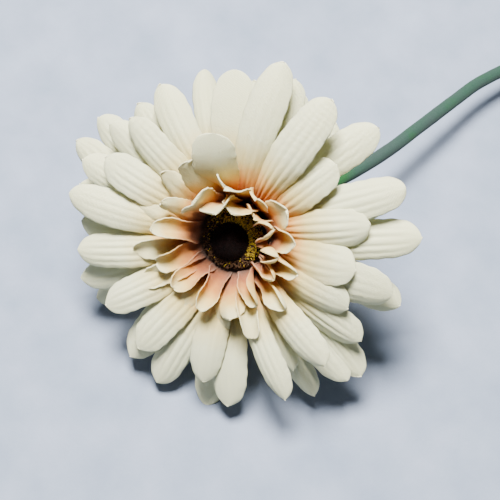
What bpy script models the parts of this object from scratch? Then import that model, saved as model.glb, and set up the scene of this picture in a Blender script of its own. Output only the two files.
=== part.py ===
"""Artificial gerbera, cut to a single stem and lying on a flat surface.

The head is built the way fabric flowers are: stamped sheets of petals are threaded on a
plastic peg, a flocked boss closes them in front and a moulded calyx behind, and a flocked
tube over a steel wire is the stem.  Metres, +Z up.  The stem runs along +Y, the head is at
the -Y end, and the origin is the centre of the footprint, on the surface.
"""
import math

import bmesh
import bpy
import numpy as np
from mathutils import Matrix, Vector

MM = 0.001

# ---- driving dimensions (metres and degrees) ----
HEAD_TILT = 40.0            # flower axis from the vertical
HEAD_YAW = 27.0             # turn of the tilted head about the vertical
HUB_HEIGHT = 33.2 * MM      # petal roots above the surface
SHEET = 0.55 * MM           # thickness of a stamped sheet
ROOT_RADIUS = 10.5 * MM     # where the large petals leave their sheet
PETAL_WIDTH = 10.6 * MM
PETAL_CUP = 38.0            # half angle of the arched cross-section at full width
FULL_LENGTH = 39.0 * MM     # petals shorter than this are narrower in proportion
OUTER_FRILL_RADIUS = 10.0 * MM
INNER_FRILL_RADIUS = 9.3 * MM
FRILL_WIDTH = 5.6 * MM
PEG_RADIUS = 1.5 * MM
HOLE_RADIUS = 1.9 * MM      # punched through every sheet for the peg
GAP = 0.3 * MM              # clearance between touching pieces
STEM_RADIUS = 2.2 * MM      # at the calyx
STEM_END_RADIUS = 1.7 * MM  # at the cut end
WIRE_RADIUS = 0.8 * MM
STEM_SPACING = 6.5 * MM
BOSS_RADIUS = 6.3 * MM      # dark flocked dome in the middle
BOSS_TOP = 11.2 * MM
BOSS_SKIRT = 1.2 * MM       # straight side under the dome
POLLEN_RADIUS = 8.7 * MM    # outer edge of the yellow ring
POLLEN_TOP = 8.4 * MM
PEG_DEPTH = 6.5 * MM        # peg's end below the petal roots
CALYX_RIM = 8.6 * MM
CALYX_DEPTH = 13.0 * MM     # calyx's end below the petal roots
SOCKET_TOP = 7.5 * MM       # inner end of the stem's socket

# Middle of the stem from the neck to the cut end, in mm from under the hub's centre,
# on the surface: a hand-bent neck, a slight bend, then it lies flat.
STEM_ROUTE = (
    (-4.6, 13.0, 20.6), (-3.4, 24.0, 20.2), (-0.8, 44.0, 20.6), (-0.6, 58.0, 19.4),
    (-2.0, 72.0, 17.2), (-4.0, 91.0, 14.2), (-4.8, 101.0, 12.8), (-4.2, 114.0, 10.6),
    (-2.6, 138.0, 6.8), (-0.4, 168.0, 3.4), (1.6, 200.0, 2.0), (3.4, 240.0, 1.86),
    (5.0, 290.0, 1.78), (6.0, 340.0, 1.7),
)

# Root-to-tip slope of a petal above its sheet: at the root, half way and at the tip.
BACK_SLOPE = (22.0, 2.0, -18.0)
MIDDLE_SLOPE = (38.0, 8.0, -20.0)
FRONT_SLOPE = (52.0, 14.0, -22.0)
OUTER_FRILL_SLOPE = (66.0, 46.0, 2.0)
INNER_FRILL_SLOPE = (76.0, 66.0, 30.0)

# Heights of the sheets above the petal roots' centre.
BACK_HEIGHT = 0.0 * MM
MIDDLE_HEIGHT = 1.0 * MM
FRONT_HEIGHT = 2.0 * MM
OUTER_FRILL_HEIGHT = 3.0 * MM
INNER_FRILL_HEIGHT = 4.0 * MM

# One entry per petal, anticlockwise from the sheet's first direction:
# lean to the side (degrees), length (mm), lift (degrees), roll (degrees).
FRONT_FIRST = 10.0
FRONT_PETALS = (
    (1, 30, 4, 0), (-3, 35, 0, 0), (4, 32, 3, 0), (0, 46, 3, 0),
    (-5, 48, 0, 0), (2, 37, 34, 0), (7, 39, 0, 0), (3, 37, 5, 0),
    (-2, 44, 0, 0), (-5, 41, 0, 0), (-6, 38, 2, 0), (-9, 38, 0, 0),
    (0, 37, 0, 0), (8, 43, 0, 0), (5, 39, 2, 0), (5, 33, 0, 0),
)
MIDDLE_FIRST = 0.0
MIDDLE_PETALS = (
    (5, 41, 0, 0), (2, 48, -3, 0), (-4, 46, 0, 0), (-8, 46, -3, 0),
    (-1, 42, 0, 0), (-3, 40, 0, 0), (2, 41, 0, 0), (1, 41, 0, 0),
    (-4, 43, 0, 0), (-6, 39, 0, 0), (-9, 42, 0, 0), (0, 42, 0, 0),
    (-4, 43, 0, 0), (-4, 43, 0, 0), (2, 35, 0, 0), (8, 39, 0, 0),
)
BACK_FIRST = 17.0
BACK_PETALS = (
    (-7, 43, 0, 0), (-2, 37, 0, 0), (6, 36, 0, 0), (2, 37, 0, 0),
    (-2, 39, 0, 0), (-6, 41, 0, 0), (-1, 38, 0, 0), (-6, 42, 0, 0),
    (-10, 43, 0, 0), (-11, 43, 0, 0), (-9, 45, -10, 0), (-2, 43, 0, 0),
    (-3, 44, 0, 0), (6, 44, -5, 0), (0, 44, 0, 0), (-4, 44, 0, 0),
)
# One entry per small petal: lean, length (mm), lift.
OUTER_FRILL_FIRST = 0.0
OUTER_FRILL_PETALS = (
    (0, 18, 0), (0, 18, 0), (0, 18, 4), (0, 18, 14), (0, 17, 24), (0, 17, 20), (0, 20, 6),
    (0, 21, 0), (0, 22, 0), (0, 20, 0), (0, 22, 0), (0, 23, 0), (0, 20, 0), (0, 19, 0),
)
INNER_FRILL_FIRST = 12.0
INNER_FRILL_PETALS = (
    (0, 14, 0), (0, 14, 4), (0, 14, 12), (0, 14, 20), (0, 14, 24), (0, 14, 14), (0, 14, 4),
    (0, 16, 0), (0, 17, 0), (0, 16, 0), (0, 17, 0), (0, 16, 0), (0, 15, 0), (0, 14, 0),
)


def smooth(x):
    """Ease from 0 to 1 with flat ends, on arrays."""
    x = np.clip(x, 0.0, 1.0)
    return x * x * (3.0 - 2.0 * x)


def petal_grid(direction, lean, length, lift, roll, slope, root, height, width, foot, rows):
    """Points of one petal as a grid of rows from root to tip and three columns.

    The centre line starts on the root circle and is the running sum of unit steps whose
    slope blends the three given angles and whose heading eases from the root's direction
    to direction + lean.  Each row is an arc, arched upward, of the local width.
    """
    fine = np.linspace(0.0, 1.0, 81)
    climb = (1 - fine) ** 2 * slope[0] + 2 * fine * (1 - fine) * slope[1] + fine ** 2 * slope[2]
    climb = np.radians(climb + lift * smooth(fine / 0.35))
    heading = np.radians(direction + lean * smooth(fine / 0.15))
    steps = np.stack([np.cos(climb) * np.cos(heading),
                      np.cos(climb) * np.sin(heading),
                      np.sin(climb)], axis=1)
    start = np.array([root * math.cos(math.radians(direction)),
                      root * math.sin(math.radians(direction)), height])
    line = start + np.vstack([np.zeros(3),
                              np.cumsum((steps[1:] + steps[:-1]) / 2, axis=0) * length / 80])

    def pick(values):
        return np.stack([np.interp(rows, fine, values[:, k]) for k in range(3)], axis=1)

    centre = pick(line)
    along = pick(steps)
    along /= np.linalg.norm(along, axis=1)[:, None]
    turn = np.interp(rows, fine, heading)
    side = np.stack([-np.sin(turn), np.cos(turn), 0 * turn], axis=1)
    up = np.cross(along, side)
    twist = np.radians(roll) * smooth(rows / 0.7)
    side, up = (side * np.cos(twist)[:, None] + up * np.sin(twist)[:, None],
                up * np.cos(twist)[:, None] - side * np.sin(twist)[:, None])
    local = petal_width(rows, width, foot)
    arch = np.radians(PETAL_CUP) * smooth(rows / 0.4) + 1e-4
    across = np.array([-1.0, 0.0, 1.0])
    reach = local[:, None] / 2 * np.sin(arch[:, None] * across) / arch[:, None]
    drop = local[:, None] / 2 * (1 - np.cos(arch[:, None] * across)) / arch[:, None]
    return centre[:, None] + side[:, None] * reach[..., None] - up[:, None] * drop[..., None]


def petal_width(rows, width, foot):
    """Width along a petal: a power of a quarter sine to the widest row, then a round tip."""
    widest = 0.64
    growth = np.sin(np.clip(rows / widest, 0, 1) * math.pi / 2) ** 1.6
    rise = foot + (width - foot) * growth
    past = np.clip((rows - widest) / (1 - widest), 0, 1)
    return rise * np.maximum(np.sqrt(np.clip(1 - past ** 2.4, 0, 1)), 0.3)


def sheet_petals(first, table, slope, root, height, width, rows):
    """Grids of all the petals of one stamped sheet."""
    step = 360.0 / len(table)
    foot = 2 * root * math.tan(math.pi / len(table))
    grids = []
    for number, values in enumerate(table):
        lean, length, lift = values[:3]
        roll = values[3] if len(values) > 3 else 0
        local = width * min(1.0, length * MM / FULL_LENGTH)
        grids.append(petal_grid(first + step * number, lean, length * MM, lift, roll,
                                slope, root, height, local, foot, rows))
    return grids


PETAL_ROWS = np.array([0.0, 0.09, 0.22, 0.38, 0.55, 0.7, 0.84, 0.94, 1.0])
FRILL_ROWS = np.array([0.0, 0.25, 0.5, 0.75, 0.92, 1.0])
# ---- end of the shape rules ----


def collection(name):
    """A new collection under the scene."""
    made = bpy.data.collections.new(name)
    bpy.context.scene.collection.children.link(made)
    return made


def material(name, colour, roughness, metallic=0.0):
    """A Principled material."""
    made = bpy.data.materials.new(name)
    made.use_nodes = True
    shader = made.node_tree.nodes["Principled BSDF"]
    shader.inputs["Base Color"].default_value = (*colour, 1.0)
    shader.inputs["Roughness"].default_value = roughness
    shader.inputs["Metallic"].default_value = metallic
    return made


def add_object(name, data, finish, parent):
    """Put mesh or curve data in the flower's collection under its parent."""
    data.materials.append(finish)
    made = bpy.data.objects.new(name, data)
    made.parent = parent
    flower_collection.objects.link(made)
    return made


def stamped_sheet(name, grids, root, height, finish, parent):
    """One stamped sheet: a punched disc whose rim carries the petals, then a thickness.

    Neighbouring petals share the rim point between them, so the sheet is one surface.
    """
    shape = bmesh.new()
    count = len(grids)
    corner = [shape.verts.new(grid[0, 0]) for grid in grids]
    middle = [shape.verts.new(grid[0, 1]) for grid in grids]
    punched = []
    for grid in grids:
        for point in grid[0, :2]:
            scale = HOLE_RADIUS / math.hypot(point[0], point[1])
            punched.append(shape.verts.new((point[0] * scale, point[1] * scale, height)))
    for number, grid in enumerate(grids):
        following = (number + 1) % count
        rim = [corner[number], middle[number], corner[following]]
        hole = [punched[2 * number], punched[2 * number + 1], punched[2 * following]]
        for side in (0, 1):
            shape.faces.new((hole[side], rim[side], rim[side + 1], hole[side + 1]))
        rows = [rim] + [[shape.verts.new(point) for point in row] for row in grid[1:]]
        for lower, upper in zip(rows, rows[1:]):
            for side in (0, 1):
                shape.faces.new((lower[side], upper[side], upper[side + 1], lower[side + 1]))
    data = bpy.data.meshes.new(name)
    shape.to_mesh(data)
    shape.free()
    data.shade_smooth()
    made = add_object(name, data, finish, parent)
    thickness = made.modifiers.new("thickness", "SOLIDIFY")
    thickness.thickness = SHEET
    thickness.offset = -1.0
    return made


def turned(name, profile, closed, finish, parent, steps=32):
    """A turned piece: the profile, given as radius and height, screwed about local Z."""
    data = bpy.data.meshes.new(name)
    points = [(radius, 0.0, height) for radius, height in profile]
    edges = [(number, number + 1) for number in range(len(points) - 1)]
    if closed:
        edges.append((len(points) - 1, 0))
    data.from_pydata(points, edges, [])
    made = add_object(name, data, finish, parent)
    screw = made.modifiers.new("turn", "SCREW")
    screw.steps = steps
    screw.render_steps = steps
    screw.use_merge_vertices = True
    screw.merge_threshold = 0.00001
    screw.use_smooth_shade = True
    return made


def dome_profile(radius, base, top, foot_radius, foot):
    """Half outline of a domed boss on a straight peg, from the crown down to the peg's end."""
    crown = []
    for turn in np.linspace(90.0, 0.0, 8):
        angle = math.radians(turn)
        crown.append((radius * math.cos(angle), base + (top - base) * math.sin(angle)))
    crown[0] = (0.0, top)
    return crown + [(radius, base - BOSS_SKIRT), (foot_radius, base - BOSS_SKIRT),
                    (foot_radius, foot), (0.0, foot)]


def ring_profile(inner, outer, base, top):
    """Closed outline of a ring with a rounded crest, down its outer side first."""
    middle = (inner + outer) / 2
    half = (outer - inner) / 2
    shoulder = base + (top - base) * 0.45
    crest = []
    for turn in np.linspace(90.0, 0.0, 5):
        angle = math.radians(turn)
        crest.append((middle + half * math.cos(angle),
                      shoulder + (top - shoulder) * math.sin(angle)))
    back = [(2 * middle - radius, height) for radius, height in reversed(crest[1:])]
    return crest + [(outer, base), (inner, base)] + back


def calyx_profile():
    """Closed outline of the calyx cup: flared rim, waist, socket for the stem, peg bore."""
    top = -SHEET - GAP
    return [(CALYX_RIM, top), (CALYX_RIM + 0.1 * MM, top - 1.0 * MM),
            (CALYX_RIM - 1.2 * MM, top - 3.4 * MM), (6.0 * MM, top - 6.0 * MM),
            (4.4 * MM, top - 8.6 * MM), (3.5 * MM, -CALYX_DEPTH),
            (STEM_RADIUS + GAP, -CALYX_DEPTH), (STEM_RADIUS + GAP, -SOCKET_TOP),
            (PEG_RADIUS + GAP, -SOCKET_TOP), (PEG_RADIUS + GAP, top)]


def smooth_route(points, spacing):
    """Evenly enough spaced points of a Catmull-Rom curve through the route's own points."""
    points = [Vector(point) for point in points]
    points = [2 * points[0] - points[1]] + points + [2 * points[-1] - points[-2]]
    route = []
    for before, start, end, after in zip(points, points[1:], points[2:], points[3:]):
        pieces = max(2, round((end - start).length / spacing))
        for piece in range(pieces):
            t = piece / pieces
            route.append(0.5 * (2 * start + (end - before) * t
                                + (2 * before - 5 * start + 4 * end - after) * t ** 2
                                + (3 * start - before - 3 * end + after) * t ** 3))
    route.append(points[-2])
    return route


def stem_curve(name, route, radius, end_radius, capped, finish, parent):
    """A round stem piece along the route, tapering from radius to end_radius."""
    data = bpy.data.curves.new(name, "CURVE")
    data.dimensions = "3D"
    data.bevel_depth = radius
    data.bevel_resolution = 2
    data.use_fill_caps = capped
    spline = data.splines.new("POLY")
    spline.points.add(len(route) - 1)
    for number, (point, place) in enumerate(zip(spline.points, route)):
        share = number / (len(route) - 1)
        point.co = (*place, 1.0)
        point.radius = 1.0 + (end_radius / radius - 1.0) * share
    return add_object(name, data, finish, parent)


def seat_on_origin(flower):
    """Move the flower so that its box stands on the origin by its bottom centre."""
    bpy.context.view_layer.update()
    graph = bpy.context.evaluated_depsgraph_get()
    low = np.full(3, np.inf)
    high = np.full(3, -np.inf)
    for piece in flower_collection.objects:
        if piece.type == "EMPTY":
            continue
        evaluated = piece.evaluated_get(graph)
        mesh = evaluated.to_mesh()
        points = np.empty(len(mesh.vertices) * 3, dtype=np.float32)
        mesh.vertices.foreach_get("co", points)
        world = np.array(piece.matrix_world)
        points = points.reshape(-1, 3) @ world[:3, :3].T + world[:3, 3]
        low = np.minimum(low, points.min(axis=0))
        high = np.maximum(high, points.max(axis=0))
        evaluated.to_mesh_clear()
    flower.location = (-(low[0] + high[0]) / 2, -(low[1] + high[1]) / 2, -low[2])


for old in list(bpy.data.objects):
    bpy.data.objects.remove(old, do_unlink=True)
flower_collection = collection("artificial_gerbera")

flower = bpy.data.objects.new("flower", None)
head = bpy.data.objects.new("head_frame", None)
for empty in (flower, head):
    flower_collection.objects.link(empty)
head.parent = flower
turn_head = Matrix.Rotation(math.radians(HEAD_YAW), 4, "Z") @ Matrix.Rotation(
    math.radians(HEAD_TILT), 4, "X")
head.matrix_local = Matrix.Translation((0.0, 0.0, HUB_HEIGHT)) @ turn_head

cream = material("cream_fabric", (0.86, 0.84, 0.70), 0.8)
dark_flock = material("dark_flock", (0.03, 0.012, 0.01), 0.95)
yellow_flock = material("yellow_flock", (0.45, 0.30, 0.04), 0.95)
calyx_green = material("moulded_green", (0.10, 0.24, 0.12), 0.6)
stem_green = material("flocked_green", (0.07, 0.20, 0.13), 0.9)
steel = material("stem_steel", (0.45, 0.45, 0.45), 0.35, 1.0)

LARGE_SHEETS = (
    ("petal_sheet_back", BACK_FIRST, BACK_PETALS, BACK_SLOPE, BACK_HEIGHT),
    ("petal_sheet_middle", MIDDLE_FIRST, MIDDLE_PETALS, MIDDLE_SLOPE, MIDDLE_HEIGHT),
    ("petal_sheet_front", FRONT_FIRST, FRONT_PETALS, FRONT_SLOPE, FRONT_HEIGHT),
)
for name, first, table, slope, height in LARGE_SHEETS:
    grids = sheet_petals(first, table, slope, ROOT_RADIUS, height, PETAL_WIDTH, PETAL_ROWS)
    stamped_sheet(name, grids, ROOT_RADIUS, height, cream, head)

FRILL_SHEETS = (
    ("frill_sheet_outer", OUTER_FRILL_FIRST, OUTER_FRILL_PETALS, OUTER_FRILL_SLOPE,
     OUTER_FRILL_HEIGHT, OUTER_FRILL_RADIUS),
    ("frill_sheet_inner", INNER_FRILL_FIRST, INNER_FRILL_PETALS, INNER_FRILL_SLOPE,
     INNER_FRILL_HEIGHT, INNER_FRILL_RADIUS),
)
for name, first, table, slope, height, root in FRILL_SHEETS:
    grids = sheet_petals(first, table, slope, root, height, FRILL_WIDTH, FRILL_ROWS)
    stamped_sheet(name, grids, root, height, cream, head)

boss_base = INNER_FRILL_HEIGHT + GAP
turned("centre_boss", dome_profile(BOSS_RADIUS, boss_base + BOSS_SKIRT, BOSS_TOP,
                                   PEG_RADIUS, -PEG_DEPTH), False, dark_flock, head)
turned("pollen_ring", ring_profile(BOSS_RADIUS + GAP, POLLEN_RADIUS, boss_base, POLLEN_TOP),
       True, yellow_flock, head)
turned("calyx", calyx_profile(), True, calyx_green, head)

axis = (turn_head @ Vector((0.0, 0.0, 1.0, 0.0))).to_3d()
hub = Vector((0.0, 0.0, HUB_HEIGHT))
neck = [hub - axis * (SOCKET_TOP + GAP), hub - axis * CALYX_DEPTH]
route = smooth_route(neck + [Vector(point) * MM for point in STEM_ROUTE], STEM_SPACING)
sleeve = stem_curve("stem_sleeve", route, STEM_RADIUS, STEM_END_RADIUS, False,
                    stem_green, flower)
wall = sleeve.modifiers.new("wall", "SOLIDIFY")
wall.thickness = STEM_END_RADIUS - WIRE_RADIUS - GAP
wall.offset = -1.0
stem_curve("stem_wire", route, WIRE_RADIUS, WIRE_RADIUS, True, steel, flower)

seat_on_origin(flower)
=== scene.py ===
import math

import bmesh
import bpy
import numpy as np
from mathutils import Matrix, Vector


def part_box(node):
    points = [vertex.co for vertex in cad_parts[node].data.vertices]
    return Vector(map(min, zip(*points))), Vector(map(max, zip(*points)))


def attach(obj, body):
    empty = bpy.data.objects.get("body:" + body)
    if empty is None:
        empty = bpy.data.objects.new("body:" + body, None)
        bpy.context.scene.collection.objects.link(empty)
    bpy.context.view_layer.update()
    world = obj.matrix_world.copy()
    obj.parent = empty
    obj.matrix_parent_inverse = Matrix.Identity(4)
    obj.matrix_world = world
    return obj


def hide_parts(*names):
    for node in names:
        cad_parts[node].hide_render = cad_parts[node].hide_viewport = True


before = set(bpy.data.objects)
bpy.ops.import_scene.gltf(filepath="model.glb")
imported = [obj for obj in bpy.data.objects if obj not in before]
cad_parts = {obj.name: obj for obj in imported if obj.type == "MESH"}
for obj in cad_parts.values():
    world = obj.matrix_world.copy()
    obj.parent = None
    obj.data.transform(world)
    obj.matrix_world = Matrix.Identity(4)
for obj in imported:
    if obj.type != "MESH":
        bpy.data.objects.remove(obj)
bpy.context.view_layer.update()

MM = 0.001

# ---- the flower's own frame: hub, axis and stem, as the construction has them ----
HEAD_TILT = 40.0
HEAD_YAW = 27.0
HUB_HEIGHT = 33.2 * MM
BOSS_LOW = -6.5 * MM       # low end of the centre boss's peg along the axis
RING_LOW = 4.3 * MM        # ends of the pollen ring along the axis, in the construction
RING_TOP = 8.4 * MM
ROOT_RADIUS = 10.5 * MM
HOLE_RADIUS = 1.9 * MM
FABRIC = 0.32 * MM
STEM_RADIUS = 2.2 * MM
STEM_END_RADIUS = 1.7 * MM
STEM_BORE = 1.1 * MM

turn_head = Matrix.Rotation(math.radians(HEAD_YAW), 4, "Z") @ Matrix.Rotation(
    math.radians(HEAD_TILT), 4, "X")
TURN = np.array(turn_head.to_3x3())
AXIS = TURN[:, 2]


def hub_place():
    """Hub point: under the middle of the pollen ring's box, at the hub's height."""
    low, high = (np.array(corner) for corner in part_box("pollen_ring"))
    ring_middle = (RING_LOW + RING_TOP) / 2
    centre = (low + high) / 2
    return np.array([*(centre - AXIS * ring_middle)[:2], HUB_HEIGHT])


HUB = hub_place()


def smooth(x):
    """Ease from 0 to 1 with flat ends."""
    x = np.clip(x, 0.0, 1.0)
    return x * x * (3.0 - 2.0 * x)


def to_row(points):
    """Turn points given about the hub, with the flower's axis as Z, into the row's frame."""
    return points @ TURN.T + HUB


# ---- petals ----
# Slopes of a petal above its sheet at the root, half way and at the tip, in degrees.
# Each petal: lean, length (mm), lift, roll, width (mm), arch of the section (degrees).
BACK = {
    "first": 17.0, "height": 0.0, "slope": (22.0, 2.0, -18.0),
    "petals": (
        (-24, 43, -3, 6, 12.5, 40), (-4, 37, 0, 0, 11, 40), (12, 35, 0, 0, 11, 40),
        (4, 37, 0, 0, 11, 40), (-3, 36, 0, 0, 11, 40), (-10, 40, 0, 24, 9.5, 60),
        (-3, 39, 2, 0, 11, 45), (-15, 46, -2, 0, 11.5, 40), (-31, 49, 0, 0, 11.5, 40),
        (-44, 46, -4, 0, 11, 40), (-20, 45, -9, 0, 11, 40), (-3, 40, -3, 0, 11, 40),
        (-10, 45, 0, -8, 11.5, 35), (9, 44, -4, 0, 10, 60), (-4, 44, -1, -10, 11, 40),
        (-29, 47, -4, 0, 11, 40),
    ),
}
MIDDLE = {
    "first": 0.0, "height": 1.0 * MM, "slope": (38.0, 8.0, -20.0),
    "petals": (
        (6, 41, 0, 8, 13.5, 35), (2, 47, -4, -6, 13, 45), (-7, 46, 2, -10, 12.5, 45),
        (-11, 46, -3, 0, 12, 40), (-2, 42, 0, 0, 12, 40), (-5, 41, 2, 6, 12.5, 16),
        (2, 41, 0, 12, 11.5, 45), (2, 41, 3, 0, 11.5, 45), (-6, 43, 0, 4, 11.5, 42),
        (-8, 39, 2, 10, 11.5, 42), (-10, 43, -3, 10, 11, 50), (3, 42, 0, 0, 12, 40),
        (-10, 44, -1, 0, 11.5, 42), (-5, 43, 0, 0, 11.5, 38), (1, 34, 0, 10, 8.5, 65),
        (8, 39, -4, 12, 12.5, 42),
    ),
}
FRONT = {
    "first": 10.0, "height": 2.0 * MM, "slope": (52.0, 14.0, -22.0),
    "petals": (
        (3, 31, 6, -4, 13.5, 30), (-4, 35, 2, 4, 12.5, 38), (4, 33, 6, -6, 12, 38),
        (-4, 47, 4, -10, 13, 40), (-10, 49, 0, 8, 12.5, 45), (-18, 33, 36, 10, 13, 16),
        (8, 39, 4, -6, 11.5, 42), (1, 37, 7, 10, 11.5, 34), (-5, 44, 2, 4, 11.5, 42),
        (-8, 41, 0, 12, 11.5, 42), (-8, 37, 4, 14, 11.5, 40), (-10, 38, 0, 0, 12, 38),
        (-1, 37, 0, 0, 11, 42), (12, 43, 0, 12, 10.5, 62), (9, 39, 5, 12, 11.5, 52),
        (9, 32, 0, 10, 12.5, 42),
    ),
}
# Small petals: lean, length (mm), lift, roll, width (mm), arch (negative curls the edges
# up into a trough or a loop), tip curl (degrees added towards the tip).
OUTER_FRILL = {
    "first": 0.0, "height": 3.0 * MM, "slope": (62.0, 42.0, 10.0), "root": 10.0 * MM,
    "petals": (
        (2, 18, 0, 14, 8.5, -110, 20), (-4, 17, 4, -20, 9.5, -85, 30),
        (0, 18, 10, 6, 9.5, -30, 10), (-8, 15, 20, 0, 9.0, 30, 30),
        (0, 21, 22, -8, 11.0, 35, 45), (4, 24, 6, 14, 11.0, 30, 20),
        (2, 22, -2, -14, 9.0, 40, -10), (-2, 23, -10, 16, 8.5, 55, -10),
        (3, 22, -14, -14, 7.5, -70, 10), (-4, 22, -16, 14, 8.0, -60, -10),
        (2, 21, -16, -16, 8.5, 70, -10), (0, 22, -12, 12, 8.5, 45, -40),
        (-2, 23, -8, -12, 7.5, -85, 0), (3, 20, -4, 14, 7.5, -100, 10),
    ),
}
INNER_FRILL = {
    "first": 12.0, "height": 4.0 * MM, "slope": (72.0, 54.0, 20.0), "root": 9.3 * MM,
    "petals": (
        (0, 15, 2, 16, 10.0, -135, 40), (6, 15, 8, -12, 10.0, -120, 30),
        (-2, 13, 20, 6, 9.0, 30, 40), (0, 16, 26, -6, 10.5, 35, 60),
        (2, 18, 28, 8, 11.0, 35, 62), (-3, 20, 18, 10, 11.0, 30, 45),
        (4, 19, 0, -18, 8.5, 55, 0), (-3, 19, -8, 22, 8.0, -85, 20),
        (3, 17, -18, -12, 8.0, -70, 10), (-2, 16, -22, 10, 8.5, -80, 20),
        (2, 17, -18, -14, 8.5, -95, 30), (0, 18, -12, 12, 9.0, 50, 20),
        (-4, 16, -4, 12, 8.5, -115, 0), (2, 14, 0, -14, 8.5, -130, 20),
    ),
}
WIDEST = 0.62               # where along its length a petal is widest
LARGE_FULLNESS = 1.25       # power of the width's growth from foot to widest row
SMALL_FULLNESS = 0.8
TIP_BLUNTNESS = 4.2
RIB_DEPTH = 0.36 * MM
FLAT_ARCH = 25.0            # petals arched less than this are pressed nearly flat
FLAT_RIB = 0.15
LARGE_ROWS = 54
LARGE_COLUMNS = 33
SMALL_ROWS = 36
SMALL_COLUMNS = 21
HUB_ROWS = 4
CENTRE_POINTS = 121         # points of a petal's centre line
LEAN_SPAN = 0.18            # shares of a petal's length over which its bends ease in
LIFT_SPAN = 0.35
ROLL_SPAN = 0.7
ARCH_SPAN = 0.42
CURL_START = 0.45
SWAY = 5.0                  # slow random twist, in degrees
WAVE = 0.85 * MM            # up and down of a small petal's edges
MIDRIB = 0.16 * MM
SLOW_WAVE = 0.35 * MM       # the same for a large petal
FRAY = 0.10 * MM
HUB_OVERLAP = 1.25          # the small petals' feet overlap round the hub
BURIED_EDGE = 3.0           # distance to the edge noted inside the hub, in mm
WELD = 4e-6
POLE_WELD = 2e-6
POLE = 1e-7                 # radius that closes a turned piece on its axis


def width_along(rows, width, foot, fullness):
    """A power of a quarter sine from the foot to the widest row, then a blunt round tip."""
    growth = np.sin(np.clip(rows / WIDEST, 0, 1) * math.pi / 2) ** fullness
    past = np.clip((rows - WIDEST) / (1 - WIDEST), 0, 1)
    tip = np.sqrt(np.clip(1 - past ** TIP_BLUNTNESS, 0, 1) + 4e-4)
    return (foot + (width - foot) * growth) * tip


def petal_climb(values, slope):
    """Slope along a petal, in radians.

    The sheet's three slopes are blended as a quadratic, plus the lift eased in over the
    first third and the tip curl eased in over the last half.
    """
    lift = values[2]
    curl = values[6] if len(values) > 6 else 0.0
    fine = np.linspace(0.0, 1.0, CENTRE_POINTS)
    climb = (1 - fine) ** 2 * slope[0] + 2 * fine * (1 - fine) * slope[1] + fine ** 2 * slope[2]
    climb = climb + lift * smooth(fine / LIFT_SPAN)
    return np.radians(climb + curl * smooth((fine - CURL_START) / (1 - CURL_START)))


def centre_line(direction, lean, length, climb, root, height):
    """Running sum of unit steps; the heading eases from direction to direction + lean."""
    fine = np.linspace(0.0, 1.0, len(climb))
    heading = np.radians(direction + lean * smooth(fine / LEAN_SPAN))
    steps = np.stack([np.cos(climb) * np.cos(heading), np.cos(climb) * np.sin(heading),
                      np.sin(climb)], axis=1)
    start = np.array([root * math.cos(math.radians(direction)),
                      root * math.sin(math.radians(direction)), height])
    middle = (steps[1:] + steps[:-1]) / 2
    line = start + np.vstack([np.zeros(3), np.cumsum(middle, axis=0) * length / (len(climb) - 1)])
    return fine, line, steps, heading


def side_and_up(along, turn, twist):
    """Directions across and above the petal at each row, turned about it by the twist."""
    side = np.stack([-np.sin(turn), np.cos(turn), 0 * turn], axis=1)
    up = np.cross(along, side)
    cosine = np.cos(twist)[:, None]
    sine = np.sin(twist)[:, None]
    return side * cosine + up * sine, up * cosine - side * sine


def small_relief(rows, across, run, phase):
    """Edges that wave up and down towards the tip, with one pressed midrib."""
    wave = WAVE * smooth(rows / 0.8)[:, None] * np.abs(across) ** 2
    relief = wave * np.sin(rows[:, None] * 9.0 + phase[3] + 2.2 * across)
    return relief - MIDRIB * np.exp(-(across / 0.16) ** 2) * run


def large_relief(rows, across, run, phase, arch):
    """Four pressed grooves, a slow wave at the sides and a frayed outer edge.

    The grooves are Gaussian dips at a fifth and at half of the half width, shifted a little
    to one side, and almost none on the petals that are pressed flat.
    """
    shifted = np.abs(across + 0.10 * math.sin(phase[1]))
    inner_dip = np.exp(-((shifted - 0.20) / 0.08) ** 2)
    outer_dip = np.exp(-((shifted - 0.55) / 0.09) ** 2)
    depth = RIB_DEPTH * (FLAT_RIB if arch < FLAT_ARCH else 0.8 + 0.35 * math.sin(phase[2]))
    relief = -depth * (inner_dip + 0.7 * outer_dip) * run
    slow = np.sin(rows[:, None] * 6.0 + phase[4] + 1.5 * across)
    relief = relief + SLOW_WAVE * slow * smooth(rows / 0.5)[:, None] * across ** 2
    frayed = np.sin(rows[:, None] * 37.0 + phase[5] + 3 * across)
    return relief + FRAY * frayed * np.abs(across) ** 6


def ragged_half_width(rows, width, foot, small, phase):
    """Half the local width, times one plus a fine and a coarse sine along the edge."""
    local = width_along(rows, width, foot, SMALL_FULLNESS if small else LARGE_FULLNESS)
    grown = smooth(rows / 0.3)
    ragged = 1 + (0.018 + 0.012 * small) * np.sin(rows * 61 + phase[1]) * grown
    ragged = ragged + (0.02 + 0.05 * small) * np.sin(rows * 13 + phase[2]) * grown
    return (local * ragged)[:, None] / 2


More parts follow.
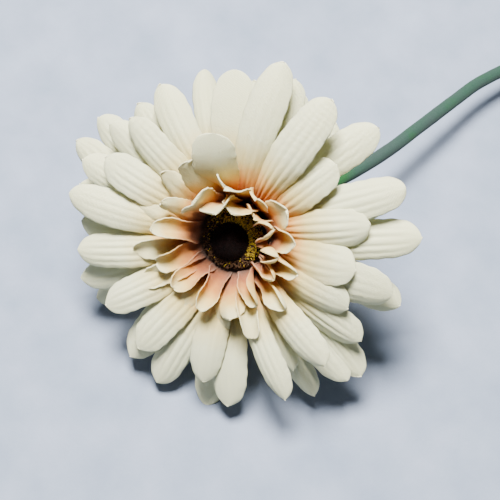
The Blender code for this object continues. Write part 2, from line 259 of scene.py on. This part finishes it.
def petal_surface(direction, values, sheet, foot, shape, seed):
    """One petal as a grid of rows (root to tip) by columns (side to side).

    Each row is an arc of the local width, whose half angle grows along the petal, set across
    the centre line and turned by the roll and a slow sway, plus the relief above the arc.
    Returns the grid, the distance from the root, from the edge and from the middle, in mm.
    """
    lean, length, _, roll, width, arch = values[:6]
    small = shape["small"]
    climb = petal_climb(values, sheet["slope"])
    fine, line, steps, heading = centre_line(direction, lean, length * MM, climb,
                                             sheet.get("root", ROOT_RADIUS), sheet["height"])
    phase = np.random.default_rng(seed).uniform(0, 2 * math.pi, 6)
    rows = 1 - (1 - np.linspace(0.0, 1.0, shape["rows"])) ** 1.5
    across = np.linspace(-1.0, 1.0, shape["columns"])

    def pick(data):
        return np.stack([np.interp(rows, fine, data[:, k]) for k in range(3)], axis=1)

    along = pick(steps)
    along /= np.linalg.norm(along, axis=1)[:, None]
    sway = SWAY * np.sin(rows * 4.0 + phase[0]) * smooth(rows / 0.5)
    twist = np.radians(roll * smooth(rows / ROLL_SPAN) + sway * (1.6 if small else 0.7))
    side, up = side_and_up(along, np.interp(rows, fine, heading), twist)

    half = ragged_half_width(rows, width * MM, foot, small, phase)
    bend = np.radians(arch) * smooth(rows / ARCH_SPAN)
    bend = np.where(np.abs(bend) < 1e-3, 1e-3, bend)[:, None]
    reach = half * np.sin(bend * across) / bend
    drop = half * (1 - np.cos(bend * across)) / bend
    run = smooth(rows / 0.12)[:, None] * smooth((1 - rows) / 0.30)[:, None]
    if small:
        relief = small_relief(rows, across, run, phase)
    else:
        relief = large_relief(rows, across, run, phase, arch)
    grid = (pick(line)[:, None] + side[:, None] * reach[..., None]
            + up[:, None] * (relief - drop)[..., None])
    travel = rows[:, None] * length + 0 * across
    edge = np.minimum(half * (1 - np.abs(across)), (1 - rows[:, None]) * length * MM) / MM
    return grid, travel, edge, across * half / MM


def hub_wedge(grid, height):
    """Rows from the punched hole out to a petal's root row, in the sheet's plane."""
    root = grid[0]
    spread = np.hypot(root[:, 0], root[:, 1])[:, None]
    hole = root * HOLE_RADIUS / spread
    hole[:, 2] = height
    share = np.linspace(0.0, 1.0, HUB_ROWS + 1)[:-1, None, None]
    return hole[None] * (1 - share) + root[None] * share


def sheet_piece(name, sheet, small, cad_node, finish, seed):
    """One stamped sheet: every petal's grid with its wedge of the punched disc, merged.

    Petals start at equal angles round the hub, and Solidify gives the fabric its thickness.
    """
    shape = {"small": small, "rows": SMALL_ROWS if small else LARGE_ROWS,
             "columns": SMALL_COLUMNS if small else LARGE_COLUMNS}
    count = len(sheet["petals"])
    root = sheet.get("root", ROOT_RADIUS)
    foot = 2 * root * math.tan(math.pi / count) * (HUB_OVERLAP if small else 1.0)
    rng = np.random.default_rng(seed)
    points, travels, edges, sides, faces, shades = [], [], [], [], [], []
    for number, values in enumerate(sheet["petals"]):
        direction = sheet["first"] + 360.0 / count * number
        grid, travel, edge, sidestep = petal_surface(direction, values, sheet, foot, shape,
                                                     seed * 100 + number)
        grid = np.concatenate([hub_wedge(grid, sheet["height"]), grid])
        pad = ((HUB_ROWS, 0), (0, 0))
        rows, columns = grid.shape[:2]
        index = np.arange(rows * columns).reshape(rows, columns) + len(points) * rows * columns
        faces.append(np.stack([index[:-1, :-1], index[1:, :-1], index[1:, 1:],
                               index[:-1, 1:]], axis=-1).reshape(-1, 4))
        points.append(to_row(grid.reshape(-1, 3)))
        travels.append(np.pad(travel, pad).ravel())
        edges.append(np.pad(edge, pad, constant_values=BURIED_EDGE).ravel())
        sides.append(np.pad(sidestep, pad, mode="edge").ravel())
        shades.append(np.full(rows * columns, rng.uniform()))
    mesh = bpy.data.meshes.new(name)
    mesh.from_pydata(np.concatenate(points).tolist(), [], np.concatenate(faces).tolist())
    for label, data in (("travel", travels), ("edge", edges), ("sidestep", sides),
                        ("shade", shades)):
        layer = mesh.attributes.new(label, "FLOAT", "POINT")
        layer.data.foreach_set("value", np.concatenate(data).astype(np.float32))
    merge(mesh, WELD)
    piece = add_piece(name, mesh, cad_node, finish)
    solid = piece.modifiers.new("thickness", "SOLIDIFY")
    solid.thickness = FABRIC
    solid.offset = -1.0
    return piece


# ---- shared makers ----
def merge(mesh, distance, closed=False):
    """Merge points closer than distance; on a closed mesh, then point the faces out."""
    shape = bmesh.new()
    shape.from_mesh(mesh)
    bmesh.ops.remove_doubles(shape, verts=shape.verts, dist=distance)
    if closed:
        bmesh.ops.recalc_face_normals(shape, faces=shape.faces)
    shape.to_mesh(mesh)
    shape.free()


def add_piece(name, mesh, cad_node, finish):
    """Link a finished mesh as a piece of the flower, in place of its CAD node if it has one."""
    mesh.materials.append(finish)
    mesh.shade_smooth()
    piece = bpy.data.objects.new(name, mesh)
    bpy.context.scene.collection.objects.link(piece)
    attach(piece, "root")
    if cad_node:
        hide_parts(cad_node)
    return piece


def closed_mesh(name, grid):
    """Closed mesh of a grid of points whose columns close up, with its faces out."""
    rows, columns = grid.shape[:2]
    index = np.arange(rows * columns).reshape(rows, columns)
    index = np.concatenate([index, index[:, :1]], axis=1)
    quads = np.stack([index[:-1, :-1], index[:-1, 1:], index[1:, 1:], index[1:, :-1]], axis=-1)
    mesh = bpy.data.meshes.new(name)
    mesh.from_pydata(grid.reshape(-1, 3).tolist(), [], quads.reshape(-1, 4).tolist())
    merge(mesh, POLE_WELD, closed=True)
    return mesh


def material(name, roughness):
    """A Principled material, with its node tree and shader."""
    made = bpy.data.materials.new(name)
    made.use_nodes = True
    tree = made.node_tree
    shader = tree.nodes["Principled BSDF"]
    shader.inputs["Roughness"].default_value = roughness
    return made, tree, shader


def node(tree, kind, **settings):
    """Add a shader node and set its properties."""
    made = tree.nodes.new(kind)
    for key, value in settings.items():
        setattr(made, key, value)
    return made


def attribute(tree, label):
    """A number stored on the mesh's points."""
    return node(tree, "ShaderNodeAttribute", attribute_name=label).outputs["Fac"]


def ramp(tree, factor, stops):
    """Colour ramp with stops of (position, colour)."""
    made = node(tree, "ShaderNodeValToRGB")
    elements = made.color_ramp.elements
    while len(elements) < len(stops):
        elements.new(0.5)
    for element, (place, colour) in zip(elements, stops):
        element.position = place
        element.color = (*colour, 1.0)
    tree.links.new(factor, made.inputs["Fac"])
    return made.outputs["Color"]


def noise(tree, scale, detail=3.0, rough=0.5):
    """Noise in the piece's own coordinates, about one feature per 1/scale metre."""
    made = node(tree, "ShaderNodeTexNoise")
    made.inputs["Scale"].default_value = scale
    made.inputs["Detail"].default_value = detail
    made.inputs["Roughness"].default_value = rough
    coordinates = node(tree, "ShaderNodeTexCoord").outputs["Object"]
    tree.links.new(coordinates, made.inputs["Vector"])
    return made.outputs["Fac"]


def mix(tree, factor, first, second, blend="MIX"):
    """Blend two colours; each input is a number, a colour or a link."""
    made = node(tree, "ShaderNodeMix", data_type="RGBA", blend_type=blend)
    for value, socket in ((factor, made.inputs[0]), (first, made.inputs[6]),
                          (second, made.inputs[7])):
        if isinstance(value, (int, float)):
            socket.default_value = value
        elif isinstance(value, tuple):
            socket.default_value = (*value, 1.0)
        else:
            tree.links.new(value, socket)
    return made.outputs[2]


def maths(tree, kind, first, second=0.0, clamp=False):
    """One maths node; each input is a number or a link."""
    made = node(tree, "ShaderNodeMath", operation=kind, use_clamp=clamp)
    for value, socket in ((first, made.inputs[0]), (second, made.inputs[1])):
        if isinstance(value, (int, float)):
            socket.default_value = value
        else:
            tree.links.new(value, socket)
    return made.outputs[0]


def bump(tree, shader, height, strength, distance):
    """Fine relief on the shader's normal."""
    made = node(tree, "ShaderNodeBump")
    made.inputs["Strength"].default_value = strength
    made.inputs["Distance"].default_value = distance
    tree.links.new(height, made.inputs["Height"])
    tree.links.new(made.outputs["Normal"], shader.inputs["Normal"])


# ---- finishes ----
SPRAY_SPAN = 48.0           # length of the spray's colour ramp, in mm from the petal's root
SPRAY_JITTER = 5.0
PALE_EDGE_AND_HIGHLIGHT = 0.22             # width of the pale frayed cut edge and its painted edge highlight, in mm
# distance from the root over which the pale edge and its painted highlight grow to full strength,
# in mm
PALE_EDGE_AND_HIGHLIGHT_FADE = 60.0
THREAD_PITCH = 14.0         # radians of weave per mm


def woven_petal(name, stops):
    """Woven fabric, sprayed peach at the root, with a pale frayed cut edge that also carries a
    painted edge highlight, and a fine weave.

    The stops are (distance from the root in mm, colour), and a soft noise shifts them. On the
    frills the near-black stops at the root are painted shade in the throat, over the fabric's own
    orange.
    """
    made, tree, shader = material(name, 0.82)
    travel = attribute(tree, "travel")
    cloud = noise(tree, 260.0, 2.0)
    jitter = maths(tree, "MULTIPLY", maths(tree, "SUBTRACT", cloud, 0.5), SPRAY_JITTER)
    place = maths(tree, "DIVIDE", maths(tree, "ADD", travel, jitter), SPRAY_SPAN, True)
    sprayed = ramp(tree, place, [(distance / SPRAY_SPAN, colour) for distance, colour in stops])
    shade = attribute(tree, "shade")
    tone = ramp(tree, shade, ((0.0, (0.93, 0.94, 0.95)), (1.0, (1.0, 1.0, 0.98))))
    coloured = mix(tree, 1.0, sprayed, tone, "MULTIPLY")
    edge = attribute(tree, "edge")
    # pale edge: partly the frayed cut edge's own paler threads, partly a painted edge highlight; it
    # fades out towards the root
    pale_edge_and_highlight = maths(tree, "SUBTRACT", 1.0, maths(tree, "DIVIDE", edge, PALE_EDGE_AND_HIGHLIGHT), True)
    pale_edge_and_highlight = maths(tree, "MULTIPLY", pale_edge_and_highlight, maths(tree, "DIVIDE", travel, PALE_EDGE_AND_HIGHLIGHT_FADE, True))
    coloured = mix(tree, pale_edge_and_highlight, coloured, (0.80, 0.76, 0.55))
    threads = weave(tree)
    grain = noise(tree, 1500.0, 2.0)
    relief = maths(tree, "ADD", threads, grain)
    coloured = mix(tree, maths(tree, "MULTIPLY", relief, 0.09), coloured, (0.46, 0.45, 0.33))
    tree.links.new(coloured, shader.inputs["Base Color"])
    shader.inputs["Subsurface Weight"].default_value = 0.14
    shader.inputs["Subsurface Radius"].default_value = (1.0, 0.85, 0.5)
    shader.inputs["Subsurface Scale"].default_value = 0.0009
    shader.inputs["Sheen Weight"].default_value = 0.06
    shader.inputs["Sheen Roughness"].default_value = 0.5
    shader.inputs["Specular IOR Level"].default_value = 0.25
    bump(tree, shader, relief, 0.8, 0.0003)
    return made


def weave(tree):
    """Over-and-under threads: the product of two sines in the petal's own millimetres."""
    warp, weft = (maths(tree, "SINE", maths(tree, "MULTIPLY", attribute(tree, label), THREAD_PITCH))
                  for label in ("sidestep", "travel"))
    crossing = maths(tree, "MULTIPLY", warp, weft)
    return maths(tree, "ADD", maths(tree, "MULTIPLY", crossing, 0.5), 0.5)


def flock(name, low, high, scale, low_place, high_place):
    """Short dense flock: a broken mixture of two colours and a soft rough surface."""
    made, tree, shader = material(name, 0.95)
    patch = noise(tree, scale, 4.0, rough=0.65)
    colour = ramp(tree, patch, ((low_place, low), (high_place, high)))
    tree.links.new(colour, shader.inputs["Base Color"])
    shader.inputs["Sheen Weight"].default_value = 0.03
    shader.inputs["Specular IOR Level"].default_value = 0.08
    bump(tree, shader, noise(tree, 2600.0, 2.0), 0.8, 0.0002)
    return made


def stem_flock():
    """Green flocked stem: blue-grey and bright green patches over fine speckle."""
    made, tree, shader = material("stem_flock_green", 0.9)
    patch = noise(tree, 60.0, 3.0)
    colour = ramp(tree, patch, ((0.30, (0.020, 0.034, 0.032)), (0.50, (0.012, 0.040, 0.026)),
                                (0.66, (0.005, 0.058, 0.009))))
    speck = noise(tree, 1400.0, 2.0)
    colour = mix(tree, maths(tree, "MULTIPLY", speck, 0.25), colour, (0.050, 0.085, 0.070))
    tree.links.new(colour, shader.inputs["Base Color"])
    shader.inputs["Sheen Weight"].default_value = 0.1
    shader.inputs["Specular IOR Level"].default_value = 0.2
    bump(tree, shader, noise(tree, 1800.0, 2.0), 0.7, 0.0002)
    return made


def plain_finish(name, colour, roughness, grain_scale, depth, metallic=0.0):
    """One colour broken by a fine noise in tone and relief."""
    made, tree, shader = material(name, roughness)
    grain = noise(tree, grain_scale, 3.0)
    darker = tuple(0.75 * channel for channel in colour)
    tree.links.new(ramp(tree, grain, ((0.3, darker), (0.7, colour))), shader.inputs["Base Color"])
    shader.inputs["Metallic"].default_value = metallic
    bump(tree, shader, grain, 0.3, depth)
    return made


CREAM = (0.82, 0.81, 0.51)
cream_weave = woven_petal("cream_petal_weave", (
    (1.0, (0.36, 0.05, 0.005)), (6.0, (0.74, 0.18, 0.010)), (11.0, (0.80, 0.36, 0.05)),
    (17.0, (0.77, 0.61, 0.24)), (26.0, CREAM)))
# Frill stops: the orange and peach are the fabric's own spray; the near-black and deep brown over
# the first millimetres from the root are painted shade in the throat.
frill_dye_and_painted_shade = woven_petal("peach_frill_weave_and_painted_shade", (
    (2.0, (0.06, 0.009, 0.002)), (6.0, (0.32, 0.065, 0.006)), (9.5, (0.62, 0.22, 0.025)),
    (13.0, (0.78, 0.50, 0.13)), (17.0, (0.78, 0.70, 0.37))))
dark_flock = flock("dark_brown_flock", (0.004, 0.0015, 0.0015), (0.018, 0.007, 0.006), 900.0,
                   0.35, 0.75)
pollen_flock = flock("mustard_pollen_flock", (0.05, 0.022, 0.008), (0.62, 0.42, 0.04), 420.0,
                     0.42, 0.56)
stem_green = stem_flock()
calyx_green = plain_finish("moulded_calyx_green", (0.11, 0.24, 0.12), 0.55, 600.0, 0.0002)
wire_steel = plain_finish("drawn_wire_steel", (0.5, 0.5, 0.5), 0.35, 3000.0, 0.00003, 1.0)

sheet_piece("back_petals", BACK, False, "petal_sheet_back", cream_weave, 11)
sheet_piece("middle_petals", MIDDLE, False, "petal_sheet_middle", cream_weave, 12)
sheet_piece("front_petals", FRONT, False, "petal_sheet_front", cream_weave, 13)
sheet_piece("outer_frill", OUTER_FRILL, True, "frill_sheet_outer", frill_dye_and_painted_shade, 14)
sheet_piece("inner_frill", INNER_FRILL, True, "frill_sheet_inner", frill_dye_and_painted_shade, 15)


# ---- centre ----
def turned_grid(profile, count):
    """Points of a profile (radius, height) carried round the flower's axis."""
    profile = np.array(profile)
    angle = np.linspace(0, 2 * math.pi, count, endpoint=False)
    return np.stack([profile[:, :1] * np.cos(angle), profile[:, :1] * np.sin(angle),
                     profile[:, 1:] + 0 * angle], axis=-1)


THIRD_TURN = 2.0944


def tufts(base, direction, length, thickness):
    """Three-sided fibres: a base triangle across each direction, drawn out to its tip."""
    helper = np.where(np.abs(direction[:, 2:]) < 0.8, np.array([[0.0, 0.0, 1.0]]),
                      np.array([[1.0, 0.0, 0.0]]))
    first = np.cross(direction, helper)
    first /= np.linalg.norm(first, axis=1)[:, None]
    second = np.cross(direction, first)
    corners = []
    for turn in (0.0, THIRD_TURN, 2 * THIRD_TURN):
        corners.append(base + (first * math.cos(turn) + second * math.sin(turn))
                       * thickness[:, None])
    tip = base + direction * length[:, None]
    points = np.stack([*corners, tip], axis=1).reshape(-1, 3)
    start = 4 * np.arange(len(base))[:, None]
    faces = np.concatenate([start + np.array(corner) for corner in
                            ((0, 1, 3), (1, 2, 3), (2, 0, 3), (0, 2, 1))])
    return points, faces


def fibre_piece(name, base, direction, length, thickness, finish):
    """All the fibres of one kind as one piece; they add to a piece that has the CAD node."""
    points, faces = tufts(base, direction, length, thickness)
    mesh = bpy.data.meshes.new(name)
    mesh.from_pydata(to_row(points).tolist(), [], faces.tolist())
    return add_piece(name, mesh, None, finish)


BOSS_RADIUS = 6.2 * MM
BOSS_SHIFT = np.array([-0.5, -1.1]) * MM    # the dark dome sits off the ring's middle
BOSS_BASE = 5.6 * MM
CROWN = 5.6 * MM
CROWN_ROWS = 26
BOSS_TURNS = 72
LUMP = 0.10 * MM
SKIRT_LOW = 4.4 * MM
PEG_RADIUS = 1.5 * MM
RING_INNER = 4.9 * MM
POLLEN_RADIUS = 9.0 * MM
POLLEN_BASE = 4.4 * MM
RING_SIDE = 1.6 * MM        # straight side of the ring under its crest
RING_CREST = 1.8 * MM
RING_MIDDLE = (RING_INNER + POLLEN_RADIUS) / 2
RING_HALF = (POLLEN_RADIUS - RING_INNER) / 2


def boss():
    """Domed boss on its peg: an elliptic crown over a short skirt, lumpy with flock."""
    crown = [(BOSS_RADIUS * math.cos(a), BOSS_BASE + CROWN * math.sin(a))
             for a in np.linspace(math.pi / 2, 0.0, CROWN_ROWS)]
    crown[0] = (POLE, crown[0][1])
    skirt = [(BOSS_RADIUS, SKIRT_LOW), (PEG_RADIUS, SKIRT_LOW - 0.05 * MM),
             (PEG_RADIUS, BOSS_LOW), (POLE, BOSS_LOW)]
    grid = turned_grid(crown + skirt, BOSS_TURNS)
    lump = np.random.default_rng(31).normal(0, LUMP, (CROWN_ROWS, BOSS_TURNS))
    grid[:CROWN_ROWS, :, 2] += lump * np.linspace(0, 1, CROWN_ROWS)[:, None] ** 0.5
    grid[:CROWN_ROWS, :, :2] += BOSS_SHIFT
    mesh = closed_mesh("dark_centre", to_row(grid))
    return add_piece("dark_centre", mesh, "centre_boss", dark_flock)


def boss_fibres(count=5200):
    """Flock standing on the crown, spread evenly over it and leaning at random."""
    rng = np.random.default_rng(32)
    turn = rng.uniform(0, 2 * math.pi, count)
    spread = np.sqrt(rng.uniform(0, 1, count))
    rise = np.sqrt(1 - np.minimum(spread, 0.999) ** 2)
    base = np.stack([BOSS_RADIUS * spread * np.cos(turn), BOSS_RADIUS * spread * np.sin(turn),
                     BOSS_BASE + CROWN * rise - 0.05 * MM], axis=1)
    base[:, :2] += BOSS_SHIFT
    direction = np.stack([spread * np.cos(turn), spread * np.sin(turn), rise + 0.4], axis=1)
    direction += rng.normal(0, 0.35, (count, 3))
    direction /= np.linalg.norm(direction, axis=1)[:, None]
    length = rng.uniform(0.35, 0.75, count) * MM
    thickness = rng.uniform(0.04, 0.07, count) * MM
    return fibre_piece("dark_centre_flock", base, direction, length, thickness,
                       dark_flock)


def pollen():
    """Ring with a rounded crest round the boss, closed on itself."""
    loop = [(RING_MIDDLE + RING_HALF * math.cos(a),
             POLLEN_BASE + RING_SIDE + RING_CREST * math.sin(a))
            for a in np.linspace(math.pi, 0.0, 15)]
    loop += [(POLLEN_RADIUS, POLLEN_BASE), (RING_INNER, POLLEN_BASE), loop[0]]
    mesh = closed_mesh("pollen_ring_core", to_row(turned_grid(loop, 96)))
    return add_piece("pollen_ring_core", mesh, "pollen_ring", dark_flock)


def pollen_tufts(name, count, seed, finish, crowd_lit_side):
    """Clumps of flock on the ring; the bright ones crowd its upper right side, the side that faces
    the light, and thin out to almost none on the lower left: partly the ring's own uneven yellow,
    partly painted shade.
    """
    rng = np.random.default_rng(seed)
    turn = rng.uniform(0, 2 * math.pi, count)
    if crowd_lit_side:
        # painted shade: the yellow tufts are weighted towards the side of the ring that faces the
        # light, so the lower left side stays dark
        weight = 0.03 + 0.97 * smooth(0.35 + 0.75 * np.cos(turn - math.radians(62)))
        turn = turn[rng.uniform(0, 1, count) < weight]
        count = len(turn)
    share = rng.uniform(-1, 1, count)
    radius = RING_MIDDLE + RING_HALF * share
    height = POLLEN_BASE + RING_SIDE + 1.7 * MM * np.sqrt(1 - share ** 2) + 0.2 * MM
    base = np.stack([radius * np.cos(turn), radius * np.sin(turn), height], axis=1)
    direction = np.stack([share * np.cos(turn), share * np.sin(turn), 1.2 + 0 * turn], axis=1)
    direction += rng.normal(0, 0.45, (count, 3))
    direction /= np.linalg.norm(direction, axis=1)[:, None]
    length = rng.uniform(0.5, 1.1, count) * MM
    thickness = rng.uniform(0.13, 0.30, count) * MM
    return fibre_piece(name, base, direction, length, thickness, finish)


boss()
boss_fibres()
pollen()
bright_pollen = plain_finish("mustard_tuft", (0.74, 0.50, 0.02), 0.9, 900.0, 0.0001)
brown_pollen = plain_finish("brown_tuft", (0.10, 0.045, 0.015), 0.95, 900.0, 0.0001)
pollen_tufts("mustard_tufts", 2400, 41, bright_pollen, True)
pollen_tufts("brown_tufts", 1300, 42, brown_pollen, False)


# ---- calyx and stem ----
CALYX_TURNS = 144
SEPALS = 18
RIDGE = 0.035


def calyx():
    """Cup with eighteen sepal ridges: the turned outline swells with a cosine of the turn."""
    outline = ((8.6, -1.15), (8.7, -1.8), (7.9, -3.6), (6.4, -6.2), (4.9, -8.8), (3.8, -11.4),
               (3.5, -13.0), (2.45, -13.0), (2.45, -7.6), (1.9, -7.6), (1.9, -1.15), (8.6, -1.15))
    grid = turned_grid(np.array(outline) * MM, CALYX_TURNS)
    turn = np.linspace(0, 2 * math.pi, CALYX_TURNS, endpoint=False)
    ridge = RIDGE * np.abs(np.cos(SEPALS / 2 * turn)) ** 0.6
    weight = np.array([1, 1, 1, 0.8, 0.5, 0.2, 0, 0, 0, 0, 0, 1.0])
    grid[..., :2] *= (1 + ridge[None, :, None] * weight[:, None, None])
    mesh = closed_mesh("calyx_cup", to_row(grid))
    return add_piece("calyx_cup", mesh, "calyx", calyx_green)


# The stem's middle, in mm from under the hub: the same route as the construction's.
STEM_ROUTE = (
    (-4.6, 13.0, 20.6), (-3.4, 24.0, 20.2), (-0.8, 44.0, 20.6), (-0.6, 58.0, 19.4),
    (-2.0, 72.0, 17.2), (-4.0, 91.0, 14.2), (-4.8, 101.0, 12.8), (-4.2, 114.0, 10.6),
    (-2.6, 138.0, 6.8), (-0.4, 168.0, 3.4), (1.6, 200.0, 2.0), (3.4, 240.0, 1.86),
    (5.0, 290.0, 1.78), (6.0, 340.0, 1.7),
)
SOCKET_TOP = 7.8 * MM
CALYX_DEPTH = 13.0 * MM
STEM_RING = 40
STEM_FUZZ = 0.025 * MM


def stem_line(spacing):
    """Catmull-Rom curve through the neck's two points and the route, as one array."""
    foot = np.array([HUB[0], HUB[1], 0.0])
    points = [HUB - AXIS * SOCKET_TOP, HUB - AXIS * CALYX_DEPTH]
    points += [foot + np.array(point) * MM for point in STEM_ROUTE]
    points = [2 * points[0] - points[1]] + points + [2 * points[-1] - points[-2]]
    line = []
    for before, start, end, after in zip(points, points[1:], points[2:], points[3:]):
        pieces = max(2, round(float(np.linalg.norm(end - start)) / spacing))
        t = np.arange(pieces)[:, None] / pieces
        line.append(0.5 * (2 * start + (end - before) * t
                           + (2 * before - 5 * start + 4 * end - after) * t ** 2
                           + (3 * start - before - 3 * end + after) * t ** 3))
    return np.vstack([*line, points[-2]])


def stem():
    """Tapering tube along the line: rings outside, then back inside, closed at both ends."""
    line = stem_line(2.0 * MM)
    along = np.gradient(line, axis=0)
    along /= np.linalg.norm(along, axis=1)[:, None]
    side = np.cross(along, np.array([[0.0, 0.0, 1.0]]))
    side /= np.linalg.norm(side, axis=1)[:, None]
    up = np.cross(side, along)
    turn = np.linspace(0, 2 * math.pi, STEM_RING, endpoint=False)
    ring = (side[:, None] * np.cos(turn)[None, :, None]
            + up[:, None] * np.sin(turn)[None, :, None])
    share = np.linspace(0, 1, len(line))[:, None]
    radius = STEM_RADIUS + (STEM_END_RADIUS - STEM_RADIUS) * share
    fuzz = np.random.default_rng(51).normal(0, STEM_FUZZ, (len(line), STEM_RING))
    outer = line[:, None] + ring * (radius - 2 * STEM_FUZZ + fuzz)[..., None]
    inner = line[:, None] + ring * STEM_BORE
    grid = np.concatenate([outer, inner[::-1], outer[:1]])
    mesh = closed_mesh("stem_tube", grid)
    return add_piece("stem_tube", mesh, "stem_sleeve", stem_green)


calyx()
stem()
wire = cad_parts["stem_wire"]
for place in wire.material_slots:
    place.material = wire_steel


# ---- stage, light and camera ----
FLOOR_HALF = 3.0


def floor():
    """A large pale sheet under the flower with a faint mottling."""
    mesh = bpy.data.meshes.new("floor")
    corners = [(x * FLOOR_HALF, y * FLOOR_HALF, 0) for x, y in ((-1, -1), (1, -1), (1, 1), (-1, 1))]
    mesh.from_pydata(corners, [], [(0, 1, 2, 3)])
    made, tree, shader = material("pale_floor", 0.9)
    cloud = noise(tree, 60.0, 5.0)
    tree.links.new(ramp(tree, cloud, ((0.3, (0.19, 0.23, 0.31)), (0.7, (0.25, 0.29, 0.38)))),
                   shader.inputs["Base Color"])
    bump(tree, shader, noise(tree, 900.0, 3.0), 0.25, 0.0003)
    mesh.materials.append(made)
    piece = bpy.data.objects.new("floor", mesh)
    bpy.context.scene.collection.objects.link(piece)


def lamp(name, place, aim, size, power, colour):
    """A square soft light facing its aim."""
    data = bpy.data.lights.new(name, "AREA")
    data.size = size
    data.energy = power
    data.color = colour
    made = bpy.data.objects.new(name, data)
    made.location = place
    made.rotation_euler = (Vector(aim) - Vector(place)).to_track_quat("-Z", "Y").to_euler()
    bpy.context.scene.collection.objects.link(made)


VIEW_AZIMUTH = math.radians(53.0)
VIEW_HEIGHT = math.radians(65.0)
VIEW_DISTANCE = 0.42
LENS = 102.2
AIM_RIGHT = 3.0 * MM        # the view's middle, from the hub
AIM_UP = -4.7 * MM
back = Vector((math.sin(VIEW_AZIMUTH) * math.cos(VIEW_HEIGHT),
               -math.cos(VIEW_AZIMUTH) * math.cos(VIEW_HEIGHT), math.sin(VIEW_HEIGHT)))
right = Vector((math.cos(VIEW_AZIMUTH), math.sin(VIEW_AZIMUTH), 0.0))
above = back.cross(right)

floor()
aim = Vector(HUB)
away = Vector((-math.sin(VIEW_AZIMUTH), math.cos(VIEW_AZIMUTH), 0.0))
lamp("key", place=aim - right * 0.03 + away * 0.17 + Vector((0, 0, 0.68)), aim=aim,
     size=0.24, power=29.0, colour=(1.0, 0.99, 0.96))
lamp("fill", place=aim - right * 0.6 + back * 0.4, aim=aim,
     size=0.5, power=0.5, colour=(0.88, 0.94, 1.0))

world = bpy.data.worlds.new("soft_studio")
bpy.context.scene.world = world
world.use_nodes = True
sky = world.node_tree.nodes["Background"]
sky.inputs["Color"].default_value = (0.80, 0.88, 1.0, 1.0)
sky.inputs["Strength"].default_value = 0.17

camera_data = bpy.data.cameras.new("camera")
camera_data.sensor_width = 36.0
camera_data.lens = LENS
camera = bpy.data.objects.new("camera", camera_data)
camera.location = aim + back * VIEW_DISTANCE + right * AIM_RIGHT + above * AIM_UP
camera.rotation_mode = "QUATERNION"
camera.rotation_quaternion = (-back).to_track_quat("-Z", "Y")
bpy.context.scene.collection.objects.link(camera)
bpy.context.scene.camera = camera
